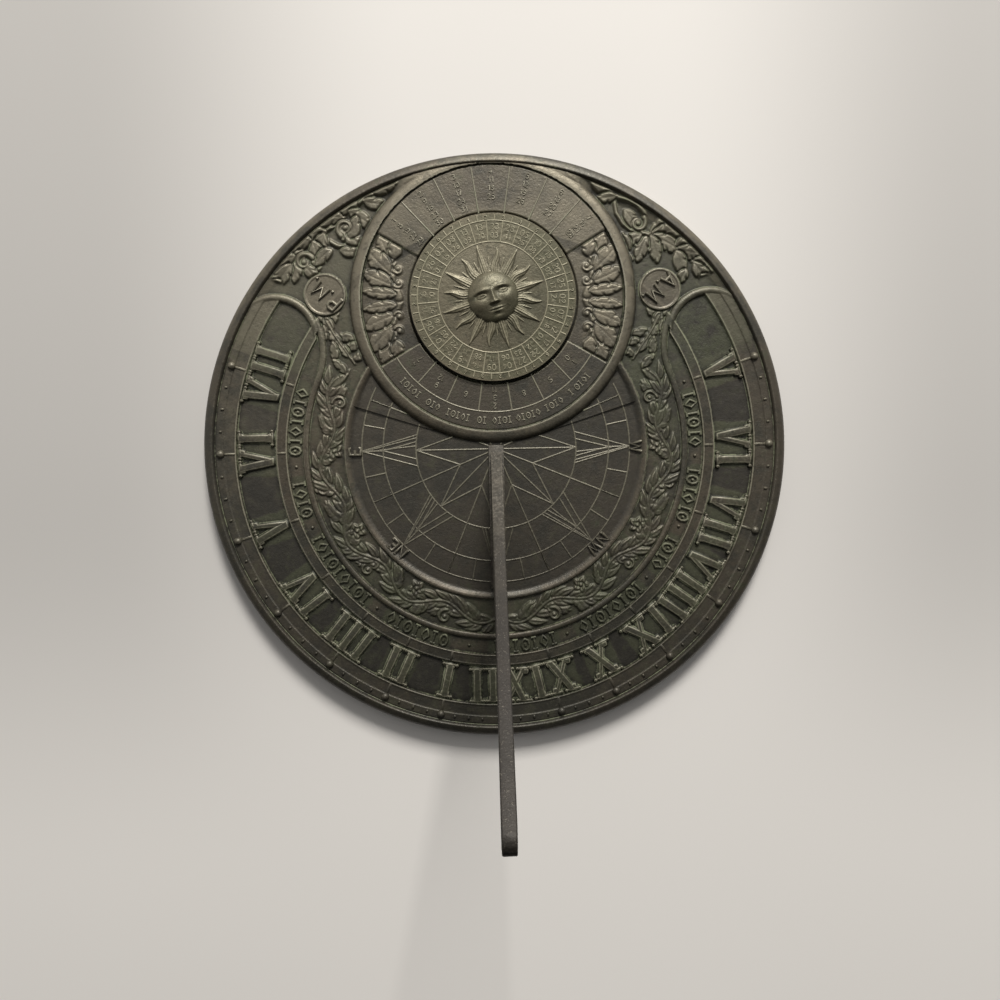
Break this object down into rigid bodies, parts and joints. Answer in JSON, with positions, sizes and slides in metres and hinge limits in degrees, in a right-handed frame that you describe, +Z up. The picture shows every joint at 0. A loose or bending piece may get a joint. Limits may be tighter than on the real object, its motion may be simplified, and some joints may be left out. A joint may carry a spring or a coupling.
{
  "type": "horizontal sundial",
  "caption": "Round cast horizontal sundial with a fixed gnomon, raised hour numerals, a compass rose and a perpetual calendar whose disc turns by hand.",
  "frame": {"origin": "on the ground plane under the middle of the plate, which is also where the hour lines meet in plan", "axes": "+Z up, +Y towards noon and true north, +X towards the afternoon hours"},
  "size_m": [0.356, 0.356, 0.2006],
  "materials": {
    "dial_bronze": "dark brown patina with olive green in the hollows",
    "gnomon_bronze": "dark brown patina, worn brighter along the edges",
    "calendar_bronze": "olive bronze, worn lighter on the raised parts",
    "fastener_steel": "plain stainless steel"
  },
  "bodies": {
    "plate": {"dial_plate": "dial_bronze", "gnomon": "gnomon_bronze", "gnomon_screws": "fastener_steel", "gnomon_washers": "fastener_steel"},
    "calendar": {"calendar_disc": "calendar_bronze", "spindle": "fastener_steel", "spindle_washer": "fastener_steel", "spindle_nut": "fastener_steel"}
  },
  "joints": [
    {"name": "calendar_turn", "type": "hinge", "parent": "plate", "child": "calendar", "pos_m": [0, -0.091, 0.012], "axis": [0, 0, 1], "continuous": true}
  ]
}
